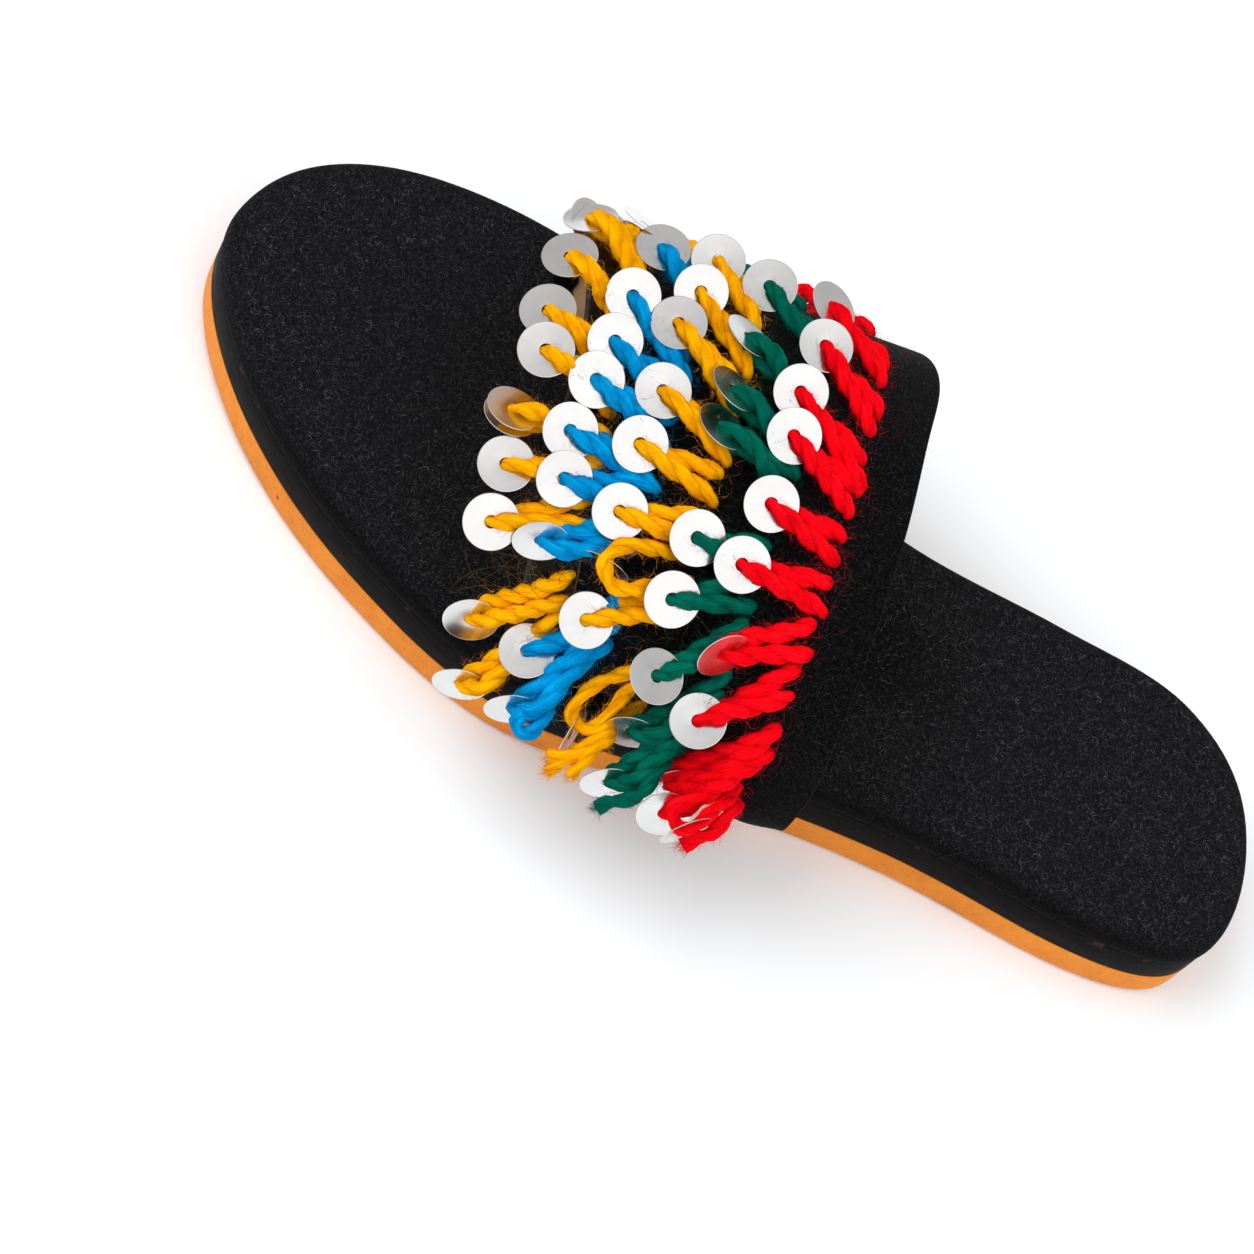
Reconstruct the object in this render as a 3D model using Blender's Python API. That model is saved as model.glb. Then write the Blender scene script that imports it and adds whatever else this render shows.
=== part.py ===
"""Left slide sandal: two sole plates, slotted footbed, arched strap, toe binding and five fringe rows.

Axes: +X to the medial side, +Y to the toe, +Z up, the floor at Z = 0. Sizes below are in millimetres.
"""
import math

import bmesh
import bpy
import numpy as np

MM = 0.001
OBJECT_NAME = "slide_sandal"

# Sole
LENGTH = 255.0
SPRING_RISE = 3.0
SPRING_FROM = 66.0
HALF_STEPS = 30
PLAN_STEP_DEG = 20.0
PLAN = (
    # angle from the heel tip, medial breadth factor, lateral breadth factor
    (0, 60.7, 59.1),
    (20, 69.4, 41.5),
    (40, 60.2, 32.7),
    (60, 42.1, 29.8),
    (80, 31.5, 37.9),
    (100, 40.0, 52.3),
    (120, 51.0, 54.0),
    (140, 57.8, 51.9),
    (160, 63.0, 47.1),
    (180, 68.1, 41.5),
)
OUTSOLE_LEVELS = (
    # inset from the plan, height
    (2.0, 0.0),
    (0.6, 0.6),
    (0.0, 2.0),
    (0.0, 9.3),
)
MIDSOLE_LEVELS = (
    (0.4, 9.6),
    (0.0, 10.0),
    (0.0, 18.2),
    (0.4, 18.6),
)
INSOLE_LEVELS = (
    (3.0, 18.9),
    (1.4, 19.6),
    (0.8, 21.2),
    (0.9, 22.7),
    (1.8, 24.3),
    (3.7, 25.0),
)

# Strap
WALL = 2.6
EDGE_ROUND = 1.0
RINGS_PER_ROW = 2
SLOT_CLEARANCE = 0.6
SLOT_DEPTH = 12.0
SLOT_MID_HEIGHT = 22.0
STRAP = (
    # heel-side edge x, y, z, then toe-side edge x, y, z
    ((-28.8, -33.5, 19.3), (-43.5, 29.5, 19.3)),
    ((-28.8, -33.5, 26.2), (-43.5, 29.5, 26.2)),
    ((-32.6, -34.0, 28.4), (-44.4, 29.8, 29.2)),
    ((-41.0, -35.3, 29.6), (-46.6, 30.2, 32.8)),
    ((-48.8, -36.4, 32.8), (-48.8, 30.8, 36.6)),
    ((-52.4, -36.8, 41.5), (-50.0, 32.0, 43.0)),
    ((-50.0, -36.0, 54.0), (-47.2, 35.0, 53.0)),
    ((-41.5, -32.6, 66.0), (-39.5, 40.0, 62.5)),
    ((-24.0, -27.2, 75.2), (-25.0, 46.5, 70.6)),
    ((-3.0, -21.2, 78.4), (-7.0, 53.0, 74.5)),
    ((17.0, -15.5, 76.8), (6.0, 58.5, 72.0)),
    ((33.8, -11.8, 71.2), (17.0, 63.0, 65.4)),
    ((43.8, -7.4, 64.0), (25.2, 66.2, 56.0)),
    ((48.6, -2.6, 54.6), (28.8, 67.0, 48.0)),
    ((46.6, 1.0, 43.5), (30.0, 67.0, 40.5)),
    ((36.2, 3.8, 32.8), (30.5, 66.6, 33.0)),
    ((29.5, 5.0, 26.2), (30.0, 66.0, 26.2)),
    ((29.5, 5.0, 19.3), (30.0, 66.0, 19.3)),
)
STRAP_FIRST = 0
STRAP_LAST = len(STRAP) - 1
MOUTH_LATERAL = 1
MOUTH_MEDIAL = 16

# Toe binding, folded round a thinned border of the strap
BORDER = 11.35
BORDER_STEP = 1.12
BORDER_END = 2.65
BINDING_FIRST_RING = 3
BINDING_LAST_RING = 31
BINDING = (
    # distance back from the toe-side edge, distance off the strap's outer face
    (11.0, -0.75),
    (11.0, 0.10),
    (4.6, 0.30),
    (2.8, 0.70),
    (1.1, 0.45),
    (-0.1, -0.40),
    (-0.5, -1.50),
    (0.1, -2.60),
    (1.4, -3.40),
    (3.0, -3.50),
    (5.0, -3.20),
    (5.0, -2.95),
    (2.3, -2.95),
    (2.3, -0.75),
)

# Fringe
ROW_FIRST_RING = 9
ROW_LAST_RING = 27
BRAID = (
    # distance along the strap from the row's line, distance off the strap
    (-1.4, 0.3),
    (1.4, 0.3),
    (1.4, 1.5),
    (-1.4, 1.5),
)
LOCK_DROOP = 1.25
LOCK_SIDES = 5
LOCK_LENGTHS = (17.0, 15.4)
LOCK_RISE = 0.44
LOCK_SAG = 0.008
LOCK_LIFTS = (2.1, 2.5)
LOCK = (
    # share of the length, half width, half thickness
    (-0.04, 1.8, 1.3),
    (0.25, 2.6, 1.8),
    (0.70, 2.5, 1.8),
    (1.05, 1.4, 1.2),
)
SEQUIN_RADIUS = 6.0
SEQUIN_THICKNESS = 0.6
SEQUIN_SIDES = 10
SEQUIN_TILT_DEG = 20.0
SEQUIN_AT = 0.95
FRINGE = (
    # node, place from heel edge to toe edge, number of locks, yarn
    ("fringe_red", 0.165, 13, "red_yarn"),
    ("fringe_green", 0.335, 12, "green_yarn"),
    ("fringe_gold_back", 0.505, 13, "gold_yarn"),
    ("fringe_blue", 0.670, 12, "blue_yarn"),
    ("fringe_gold_front", 0.838, 12, "gold_yarn"),
)

SMOOTH_ANGLE_DEG = 35.0
FINISHES = {
    # colour, roughness
    "outsole": ((0.80, 0.31, 0.06), 0.55),
    "midsole": ((0.02, 0.02, 0.021), 0.6),
    "insole": ((0.006, 0.006, 0.007), 0.9),
    "strap": ((0.005, 0.005, 0.006), 0.9),
    "toe_binding": ((0.007, 0.007, 0.008), 0.35),
    "red_yarn": ((0.72, 0.01, 0.02), 0.9),
    "green_yarn": ((0.0, 0.13, 0.08), 0.9),
    "gold_yarn": ((0.84, 0.38, 0.01), 0.9),
    "blue_yarn": ((0.0, 0.27, 0.65), 0.9),
}


def smooth(values, at):
    """Value at a place, counted in rows, of the smooth curve through evenly counted rows."""
    values = np.asarray(values, dtype=float)
    last = len(values) - 1
    row = min(max(int(at), 0), last - 1)
    t = at - row
    here = values[row]
    ahead = values[row + 1]
    before = values[row - 1] if row > 0 else 2.0 * here - ahead
    beyond = values[row + 2] if row + 2 <= last else 2.0 * ahead - here
    linear = ahead - before
    square = 2.0 * before - 5.0 * here + 4.0 * ahead - beyond
    cube = 3.0 * here - before - 3.0 * ahead + beyond
    return 0.5 * (2.0 * here + linear * t + square * t * t + cube * t ** 3)


def unit(vector):
    return vector / np.linalg.norm(vector)


def material(name, finish):
    colour, roughness = FINISHES[finish]
    made = bpy.data.materials.new(name)
    made.use_nodes = True
    shader = made.node_tree.nodes["Principled BSDF"]
    shader.inputs["Base Color"].default_value = (*colour, 1.0)
    shader.inputs["Roughness"].default_value = roughness
    shader.inputs["Metallic"].default_value = 0.0
    return made


def body(name, points, faces, collection, made_of=None):
    """A named mesh of points in millimetres, its faces turned outward."""
    mesh = bpy.data.meshes.new(name)
    mesh.from_pydata([tuple(MM * c for c in p) for p in points], [], faces)
    cleaner = bmesh.new()
    cleaner.from_mesh(mesh)
    bmesh.ops.recalc_face_normals(cleaner, faces=cleaner.faces)
    cleaner.to_mesh(mesh)
    cleaner.free()
    mesh.shade_smooth()
    mesh.set_sharp_from_angle(angle=math.radians(SMOOTH_ANGLE_DEG))
    thing = bpy.data.objects.new(name, mesh)
    collection.objects.link(thing)
    if made_of is not None:
        mesh.materials.append(made_of)
    return thing


def tube(rings):
    """Points and faces of a run of equal closed rings, with a flat cap at each end."""
    count = len(rings[0])
    points = [p for ring in rings for p in ring]
    faces = []
    for k in range(len(rings) - 1):
        for i in range(count):
            j = (i + 1) % count
            faces.append((k * count + i, k * count + j, (k + 1) * count + j, (k + 1) * count + i))
    faces.append(tuple(range(count)))
    faces.append(tuple((len(rings) - 1) * count + i for i in range(count)))
    return points, faces


def cutter(name, points, faces, collection):
    thing = body(name, points, faces, collection)
    thing.hide_render = True
    thing.display_type = "WIRE"
    return thing


def combine(thing, operation, other):
    boolean = thing.modifiers.new(other.name, "BOOLEAN")
    boolean.operation = operation
    boolean.solver = "EXACT"
    boolean.object = other


def plan_loop(inset):
    """The sole's outline, heel tip, lateral side, toe tip, medial side, moved inward."""
    outline = []
    for i in range(2 * HALF_STEPS):
        side = 2 if i <= HALF_STEPS else 1
        turn = i if i <= HALF_STEPS else 2 * HALF_STEPS - i
        angle = math.pi * turn / HALF_STEPS
        factor = smooth([row[side] for row in PLAN], math.degrees(angle) / PLAN_STEP_DEG)
        x = factor * math.sin(angle) * (-1.0 if side == 2 else 1.0)
        outline.append((x, -0.5 * LENGTH * math.cos(angle)))
    outline = np.array(outline)
    run = np.roll(outline, -1, axis=0) - np.roll(outline, 1, axis=0)
    run /= np.linalg.norm(run, axis=1)[:, None]
    inward = np.stack([run[:, 1], -run[:, 0]], axis=1)
    return outline + inset * inward


def spring(y):
    share = max(0.0, (y - SPRING_FROM) / (0.5 * LENGTH - SPRING_FROM))
    return SPRING_RISE * share * share


def plate(name, levels, collection):
    """A sole plate: loops of the plan at each level, laddered across below and above."""
    points = []
    for inset, height in levels:
        points += [(x, y, height + spring(y)) for x, y in plan_loop(inset)]
    count = 2 * HALF_STEPS
    faces = []
    for k in range(len(levels) - 1):
        for i in range(count):
            j = (i + 1) % count
            faces.append((k * count + i, k * count + j, (k + 1) * count + j, (k + 1) * count + i))
    for base in (0, (len(levels) - 1) * count):
        faces.append((base, base + 1, base + count - 1))
        faces.append((base + HALF_STEPS - 1, base + HALF_STEPS, base + HALF_STEPS + 1))
        for i in range(1, HALF_STEPS - 1):
            faces.append((base + i, base + i + 1, base + count - i - 1, base + count - i))
    return body(name, points, faces, collection, material(name, name))


def strap_edges(at):
    """Heel-side and toe-side edge points of the strap's outer face at a place counted in rows."""
    heel = smooth([row[0] for row in STRAP], at)
    toe = smooth([row[1] for row in STRAP], at)
    return heel, toe


def strap_frame(at):
    """Edge point, direction to the toe edge, width and the outward normals at both edges."""
    step = 0.02
    low = strap_edges(max(at - step, STRAP_FIRST))
    high = strap_edges(min(at + step, STRAP_LAST))
    heel, toe = strap_edges(at)
    width = np.linalg.norm(toe - heel)
    across = (toe - heel) / width
    heel_out = unit(np.cross(high[0] - low[0], across))
    toe_out = unit(np.cross(high[1] - low[1], across))
    return heel, across, width, heel_out, toe_out


def strap_point(at, place, off):
    """Point of the strap a distance along from its heel edge and off its outer face."""
    heel, across, width, heel_out, toe_out = strap_frame(at)
    share = place / width
    out = unit((1.0 - share) * heel_out + share * toe_out)
    return heel + place * across + off * out


def strap_rings():
    rows = RINGS_PER_ROW * STRAP_LAST
    return [STRAP_LAST * k / rows for k in range(rows + 1)]


def strap_section(at):
    width = strap_frame(at)[2]
    border = width - BORDER
    thirds = (border / 3.0, 2.0 * border / 3.0)
    section = [
        (EDGE_ROUND, -WALL),
        (0.3 * EDGE_ROUND, -0.8 * WALL),
        (0.0, -0.5 * WALL),
        (0.3 * EDGE_ROUND, -0.2 * WALL),
        (EDGE_ROUND, 0.0),
        (thirds[0], 0.0),
        (thirds[1], 0.0),
        (border, 0.0),
        (border, -BORDER_STEP),
        (width - BORDER_END, -BORDER_STEP),
        (width - BORDER_END, -WALL),
        (thirds[1], -WALL),
        (thirds[0], -WALL),
    ]
    return [strap_point(at, place, off) for place, off in section]


def slot_cutter(name, row, collection):
    """A block that clears the strap where it passes down through the footbed."""
    heel = np.array(STRAP[row][0])
    toe = np.array(STRAP[row][1])
    across = unit(toe - heel)
    out = strap_frame(row)[3]
    out[2] = 0.0
    out = unit(out)
    middle = 0.5 * (heel + toe) - 0.5 * WALL * out
    half_long = 0.5 * np.linalg.norm(toe - heel) + SLOT_CLEARANCE
    half_wide = 0.5 * WALL + SLOT_CLEARANCE
    rings = []
    for height in (SLOT_MID_HEIGHT - 0.5 * SLOT_DEPTH, SLOT_MID_HEIGHT + 0.5 * SLOT_DEPTH):
        ring = []
        for long_side, wide_side in ((-1, -1), (1, -1), (1, 1), (-1, 1)):
            corner = middle + long_side * half_long * across + wide_side * half_wide * out
            ring.append((corner[0], corner[1], height))
        rings.append(ring)
    points, faces = tube(rings)
    return cutter(name, points, faces, collection)


def binding_rings():
    rings = []
    for at in strap_rings()[BINDING_FIRST_RING:BINDING_LAST_RING + 1]:
        width = strap_frame(at)[2]
        rings.append([strap_point(at, width - back, off) for back, off in BINDING])
    return rings


def even_places(share, count):
    """Places in rows, evenly spaced by length along a fringe row's line."""
    places = strap_rings()
    fine = np.linspace(places[ROW_FIRST_RING], places[ROW_LAST_RING], 200)
    line = np.array([strap_point(at, share * strap_frame(at)[2], 0.0) for at in fine])
    run = np.concatenate([[0.0], np.cumsum(np.linalg.norm(np.diff(line, axis=0), axis=1))])
    wanted = run[-1] * (np.arange(count) + 0.5) / count
    return np.interp(wanted, run, fine)


def lock_frame(at, share):
    """Root, outward normal and lie of a lock: toward the toe and, down the sides, drooping."""
    heel, across, width, heel_out, toe_out = strap_frame(at)
    out = unit((1.0 - share) * heel_out + share * toe_out)
    down = np.array((0.0, 0.0, -1.0))
    fall = down - (down @ out) * out
    lie = across + LOCK_DROOP * fall
    lie = unit(lie - (lie @ out) * out)
    return heel + share * width * across, out, lie


def lock_axis(root, out, lie, length, lift, share):
    run = length * share
    rise = lift + LOCK_RISE * run - LOCK_SAG * run * run
    return root + run * lie + rise * out


def lock_rings(root, out, lie, length, lift):
    side = unit(np.cross(out, lie))
    rings = []
    for share, half_width, half_thick in LOCK:
        slope = LOCK_RISE - 2.0 * LOCK_SAG * length * share
        upright = unit(out - slope * lie)
        centre = lock_axis(root, out, lie, length, lift, share)
        ring = []
        for i in range(LOCK_SIDES):
            angle = 2.0 * math.pi * (i + 0.5) / LOCK_SIDES
            ring.append(centre + half_width * math.cos(angle) * side + half_thick * math.sin(angle) * upright)
        rings.append(ring)
    return rings


def sequin_rings(root, out, lie, length, lift):
    tilt = math.radians(SEQUIN_TILT_DEG)
    face = unit(math.cos(tilt) * out - math.sin(tilt) * lie)
    along = unit(math.cos(tilt) * lie + math.sin(tilt) * out)
    side = np.cross(face, along)
    centre = lock_axis(root, out, lie, length, lift, SEQUIN_AT)
    rings = []
    for level in (-0.5 * SEQUIN_THICKNESS, 0.5 * SEQUIN_THICKNESS):
        ring = []
        for i in range(SEQUIN_SIDES):
            angle = 2.0 * math.pi * (i + 0.5) / SEQUIN_SIDES
            spoke = math.cos(angle) * along + math.sin(angle) * side
            ring.append(centre + SEQUIN_RADIUS * spoke + level * face)
        rings.append(ring)
    return rings


def joined(shapes):
    """Points and faces of several capped tubes held in one mesh."""
    points = []
    faces = []
    for rings in shapes:
        more_points, more_faces = tube(rings)
        base = len(points)
        points += more_points
        faces += [tuple(base + i for i in face) for face in more_faces]
    return points, faces


def fringe_row(name, share, count, yarn, parts, cutters):
    """A braid along the strap with its locks and their sequins fused on."""
    rings = []
    for at in strap_rings()[ROW_FIRST_RING:ROW_LAST_RING + 1]:
        place = share * strap_frame(at)[2]
        rings.append([strap_point(at, place + along, off) for along, off in BRAID])
    points, faces = tube(rings)
    row = body(name, points, faces, parts, material(name, yarn))
    locks = []
    sequins = ([], [])
    for k, at in enumerate(even_places(share, count)):
        parity = k % 2
        root, out, lie = lock_frame(at, share)
        shape = (root, out, lie, LOCK_LENGTHS[parity], LOCK_LIFTS[parity])
        locks.append(lock_rings(*shape))
        sequins[parity].append(sequin_rings(*shape))
    combine(row, "UNION", cutter(name + "_locks", *joined(locks), cutters))
    combine(row, "UNION", cutter(name + "_sequins_a", *joined(sequins[0]), cutters))
    combine(row, "UNION", cutter(name + "_sequins_b", *joined(sequins[1]), cutters))
    return row


def main():
    for thing in list(bpy.data.objects):
        bpy.data.objects.remove(thing)
    parts = bpy.data.collections.new(OBJECT_NAME)
    cutters = bpy.data.collections.new("cutters")
    bpy.context.scene.collection.children.link(parts)
    bpy.context.scene.collection.children.link(cutters)

    plate("outsole", OUTSOLE_LEVELS, parts)
    plate("midsole", MIDSOLE_LEVELS, parts)
    insole = plate("insole", INSOLE_LEVELS, parts)
    combine(insole, "DIFFERENCE", slot_cutter("slot_lateral", MOUTH_LATERAL, cutters))
    combine(insole, "DIFFERENCE", slot_cutter("slot_medial", MOUTH_MEDIAL, cutters))

    points, faces = tube([strap_section(at) for at in strap_rings()])
    body("strap", points, faces, parts, material("strap", "strap"))
    points, faces = tube(binding_rings())
    body("toe_binding", points, faces, parts, material("toe_binding", "toe_binding"))

    for name, share, count, yarn in FRINGE:
        fringe_row(name, share, count, yarn, parts, cutters)


main()
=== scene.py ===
import functools
import math

import bpy
import numpy as np
from mathutils import Matrix


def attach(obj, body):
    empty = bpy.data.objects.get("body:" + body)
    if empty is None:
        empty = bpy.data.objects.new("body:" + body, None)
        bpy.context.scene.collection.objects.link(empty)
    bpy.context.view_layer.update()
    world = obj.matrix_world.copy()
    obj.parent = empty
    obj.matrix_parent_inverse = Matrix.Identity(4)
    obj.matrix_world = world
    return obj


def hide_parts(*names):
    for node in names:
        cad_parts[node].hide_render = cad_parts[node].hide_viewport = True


# Left slide sandal: sole plates, suede footbed, lined strap with a leather toe binding,
# five rows of twisted yarn loops and the sequins they hold. Lengths below are in millimetres.
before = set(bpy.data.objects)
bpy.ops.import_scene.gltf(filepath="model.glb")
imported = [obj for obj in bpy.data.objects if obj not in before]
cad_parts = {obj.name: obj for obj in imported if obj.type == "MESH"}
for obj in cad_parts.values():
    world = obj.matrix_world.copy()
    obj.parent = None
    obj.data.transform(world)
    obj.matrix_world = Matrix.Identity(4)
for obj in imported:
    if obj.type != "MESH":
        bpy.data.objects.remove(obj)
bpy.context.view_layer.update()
MM = 0.001
chance = np.random.default_rng(39)

# Sole
LENGTH = 255.0
SPRING_RISE = 3.0
SPRING_FROM = 66.0
PLAN_STEP_DEG = 20.0
PLAN = (
    # medial and lateral breadth factors at each step of angle from the heel tip
    (60.7, 59.1), (69.4, 41.5), (60.2, 32.7), (42.1, 29.8), (31.5, 37.9),
    (40.0, 52.3), (51.0, 54.0), (57.8, 51.9), (63.0, 47.1), (68.1, 41.5),
)
PLAN_ROWS = 96
CAP_SHARES = (0.93, 0.84, 0.7, 0.5, 0.25)
OUTSOLE_EDGE = (
    # inset from the plan, height
    (2.2, 0.0), (1.1, 0.18), (0.4, 0.7), (0.05, 1.6), (0.0, 2.6),
    (0.0, 5.5), (0.0, 8.85), (0.1, 9.2), (0.4, 9.35),
)
MIDSOLE_EDGE = (
    (0.5, 9.4), (0.12, 9.55), (0.0, 9.9), (0.0, 14.0), (0.0, 18.0), (0.12, 18.4), (0.5, 18.55),
)
INSOLE_EDGE = (
    (0.7, 18.6), (0.05, 18.7), (-0.2, 19.05), (-0.25, 20.2), (-0.1, 21.8),
    (0.2, 23.0), (0.7, 24.0), (1.5, 24.65), (2.6, 24.93), (4.0, 25.0),
)
INSOLE_TOP = 25.0
FOOTBED_FIBRES = 9000

# Strap
WALL = 2.6
SUEDE_THICK = 1.15
LINING_THICK = 1.25
LINING_BACK = 1.3
LINING_INSET = 0.35
LINING_BORDER = 3.2
STRAP_ROWS = 150
STRAP_COLUMNS = 44
BORDER = 11.3
# height of a soft rise or tuck, its row and how many rows it spreads, its place and how far it reaches
SIDE_FOLD = (4.5, 4.4, 0.9, 11.0, 9.0)
CORNER_TUCK = (0.6, 4.2, 0.8, 0.0, 3.0)
STRAP_FIBRES = 1500
SLOT_CLEARANCE = 0.6
SLOT_DEPTH = 12.0
SLOT_MID_HEIGHT = 22.0
MOUTH_LATERAL = 1
MOUTH_MEDIAL = 16
STRAP = (
    # heel-side edge x, y, z, then toe-side edge x, y, z
    ((-28.8, -33.5, 19.3), (-43.5, 29.5, 19.3)),
    ((-28.8, -33.5, 26.2), (-43.5, 29.5, 26.2)),
    ((-32.6, -34.0, 28.4), (-44.4, 29.8, 29.2)),
    ((-41.0, -35.3, 29.6), (-46.6, 30.2, 32.8)),
    ((-48.8, -36.4, 32.8), (-48.8, 30.8, 36.6)),
    ((-52.4, -36.8, 41.5), (-50.0, 32.0, 43.0)),
    ((-50.0, -36.0, 54.0), (-47.2, 35.0, 53.0)),
    ((-41.5, -32.6, 66.0), (-39.5, 40.0, 62.5)),
    ((-24.0, -27.2, 75.2), (-25.0, 46.5, 70.6)),
    ((-3.0, -21.2, 78.4), (-7.0, 53.0, 74.5)),
    ((17.0, -15.5, 76.8), (6.0, 58.5, 72.0)),
    ((33.8, -11.8, 71.2), (17.0, 63.0, 65.4)),
    ((43.8, -7.4, 64.0), (25.2, 66.2, 56.0)),
    ((48.6, -2.6, 54.6), (28.8, 67.0, 48.0)),
    ((46.6, 1.0, 43.5), (30.0, 67.0, 40.5)),
    ((36.2, 3.8, 32.8), (30.5, 66.6, 33.0)),
    ((29.5, 5.0, 26.2), (30.0, 66.0, 26.2)),
    ((29.5, 5.0, 19.3), (30.0, 66.0, 19.3)),
)
STRAP_LAST = len(STRAP) - 1

# Toe binding
BINDING_FROM = 1.6
BINDING_TO = 15.4
BINDING_THICK = 0.55
BINDING_ROWS = 240
BINDING_COLUMNS = 44
BINDING = (
    # distance back from the toe-side edge, distance off the strap's outer face
    (11.0, 0.12), (8.4, 0.20), (6.0, 0.28), (4.4, 0.42), (2.8, 0.72), (1.1, 0.45),
    (-0.1, -0.40), (-0.5, -1.50), (0.1, -2.60), (1.4, -3.40), (3.0, -3.50), (4.9, -3.20),
)
ROLL_MIDDLE = 5.2
ROLL_REACH = 2.6
PUCKERS = 400
PUCKER_RUN = 20.0
PUCKER_WAVES = (
    # height, shift along the binding, pitch
    (0.07, 0.0, 2.2), (0.05, 40.0, 1.1),
)
HEM_FROM = 9.0
HEM_WAVE = (0.45, 80.0, 5.0)
STITCH_BACKS = (9.6, 7.9)
STITCH_PITCH = 2.6
STITCH_LENGTH = 2.0
STITCH_WIDTH = 0.5
STITCH_LIFT = 0.12
STITCH_END_GAP = 0.3
STITCH_SINK = 0.16
STITCH_SINK_WIDTH = 0.55
STITCHED_TO = 4.5
STITCH_RINGS = (
    # share of half the length, lift, width factor
    (-1.0, -0.25, 0.4), (-0.7, 0.16, 0.9), (0.0, 0.26, 1.0), (0.7, 0.16, 0.9), (1.0, -0.25, 0.4),
)

# Yarn loops
STRAND_ROOT_GAP = 5.4
PLY_SIDES = 10
PLY_STEP = 0.62
PLY_APART = 0.41
TWIST_PITCH = 10.5
ROOT_TAPER = 5.5
SEQUIN_RADIUS = 5.65
SEQUIN_SIDES = 44
SEQUIN_CUP = 0.30
SEQUIN_THICK = 0.14
SEQUIN_RINGS = (
    # radius of each ring inward from the rim, drop from the ring before
    (5.50, -0.02), (3.6, -0.12), (1.40, -0.13), (1.24, -0.02),
)
VIEW_RIGHT = np.array((0.49171, -0.81342, 0.31077))
VIEW_UP = np.array((0.7054, 0.58134, 0.40552))
VIEW_BACK = np.array((-0.51052, 0.01983, 0.85964))
VIEW_PLACE = (-445.51, 28.06, 729.24)
VIEW_LENS = 114.83
VIEW_SENSOR = 36.0
DROOP = (
    # place of the sequin in strap rows, how many rows further up its roots are
    (3.5, 1.75), (4.75, 1.55), (6.0, 1.05), (6.9, 0.62), (7.7, 0.22), (8.4, 0.05), (8.8, -0.05),
    (9.6, -0.34), (10.3, -0.45), (11.0, -0.52), (11.5, -0.62), (13.0, -0.75), (14.8, -1.4),
)
ROWS = (
    # node, yarn, share of the strap's width, ply radius, sequins: row, place, off the strap, tilt, turn
    ("fringe_red", "red", 0.165, 1.50, (
        (11.32, 25.9, 5.6, 48, 30), (10.36, 26.4, 5.6, 20, 40), (9.54, 29.3, 5.6, 12, -20),
        (9.04, 28.5, 5.6, 14, -10), (8.35, 28.7, 5.6, 15, -26), (7.74, 30.1, 5.8, 10, -26),
        (6.93, 27.2, 5.6, 56, -61), (6.04, 26.4, 5.8, 12, 90), (4.70, 24.0, 8.0, 58, 292),
        (4.72, 21.4, 13.0, 40, 280))),
    ("fringe_green", "green", 0.350, 1.40, (
        (11.14, 39.9, 5.6, 16, 80), (9.90, 42.0, 5.6, 62, 44), (9.14, 42.7, 5.6, 60, 42),
        (8.72, 42.9, 5.6, 55, 43), (7.72, 40.3, 5.4, 16, -26), (7.09, 40.7, 5.6, 14, -26),
        (6.21, 37.6, 5.6, 25, 200), (5.08, 36.5, 6.0, 58, 260), (4.59, 33.9, 14.5, 58, 275))),
    ("fringe_gold_back", "gold", 0.535, 1.42, (
        (11.27, 51.1, 5.6, 14, 60), (10.25, 53.7, 5.6, 14, -26), (9.55, 56.8, 5.6, 18, 80),
        (8.72, 56.4, 5.6, 13, 40), (8.17, 57.3, 5.6, 14, -26), (7.52, 56.6, 5.6, 15, -26),
        (6.24, 55.1, 5.6, 18, 0))),
    ("fringe_blue", "blue", 0.705, 1.50, (
        (10.89, 63.3, 5.6, 32, 70), (9.57, 67.2, 5.6, 12, -26), (8.90, 68.6, 5.6, 14, -26),
        (8.43, 69.8, 7.8, 15, -26), (7.91, 71.3, 5.6, 16, -10), (7.48, 69.3, 5.6, 18, -40),
        (6.76, 69.5, 5.2, 50, 270), (5.04, 62.4, 6.0, 14, 80), (4.52, 57.9, 14.5, 60, 270))),
    ("fringe_gold_front", "gold", 0.862, 1.40, (
        (10.93, 78.9, 5.0, 55, 92), (11.20, 76.6, 4.0, 54, 70),
        (9.66, 81.5, 5.6, 35, 95), (8.86, 83.2, 3.4, 23, 100), (8.42, 81.2, 7.6, 12, 80),
        (7.78, 83.4, 5.6, 48, 57), (7.26, 81.3, 5.6, 14, 60), (6.57, 80.2, 5.6, 10, -26),
        (4.71, 75.1, 6.0, 45, 270), (3.90, 69.0, 16.0, 58, 260))),
)
MEDIAL_SEQUINS = {
    "fringe_red": (13.5, 14.2, 14.8),
    "fringe_green": (13.7, 14.5),
    "fringe_gold_back": (13.2, 14.0, 14.7),
    "fringe_blue": (13.2, 14.0, 14.7),
    "fringe_gold_front": (13.3, 14.0, 14.7),
}
MEDIAL_EDGE_GAP = 9.0
MEDIAL_HEIGHT = 3.6
MEDIAL_WANDER = 3.0
MEDIAL_SCATTER = 0.16
TOP_LOOPS = 6
LOOSE_SEQUINS = (
    # node, middle, tilt, turn
    ("fringe_gold_back", (-62.5, 9.2, 38.3), 81, -31),
    ("fringe_gold_back", (-42.8, 23.2, 65.0), 72, 239),
    ("fringe_gold_back", (26.6, 56.3, 68.0), 76, 52),
    ("fringe_gold_front", (-30.3, 55.0, 69.6), 48, 57),
    ("fringe_gold_front", (20.1, 65.5, 65.7), 50, 15),
    ("fringe_red", (-67.1, -20.0, 42.0), 74, -68),
)
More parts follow.
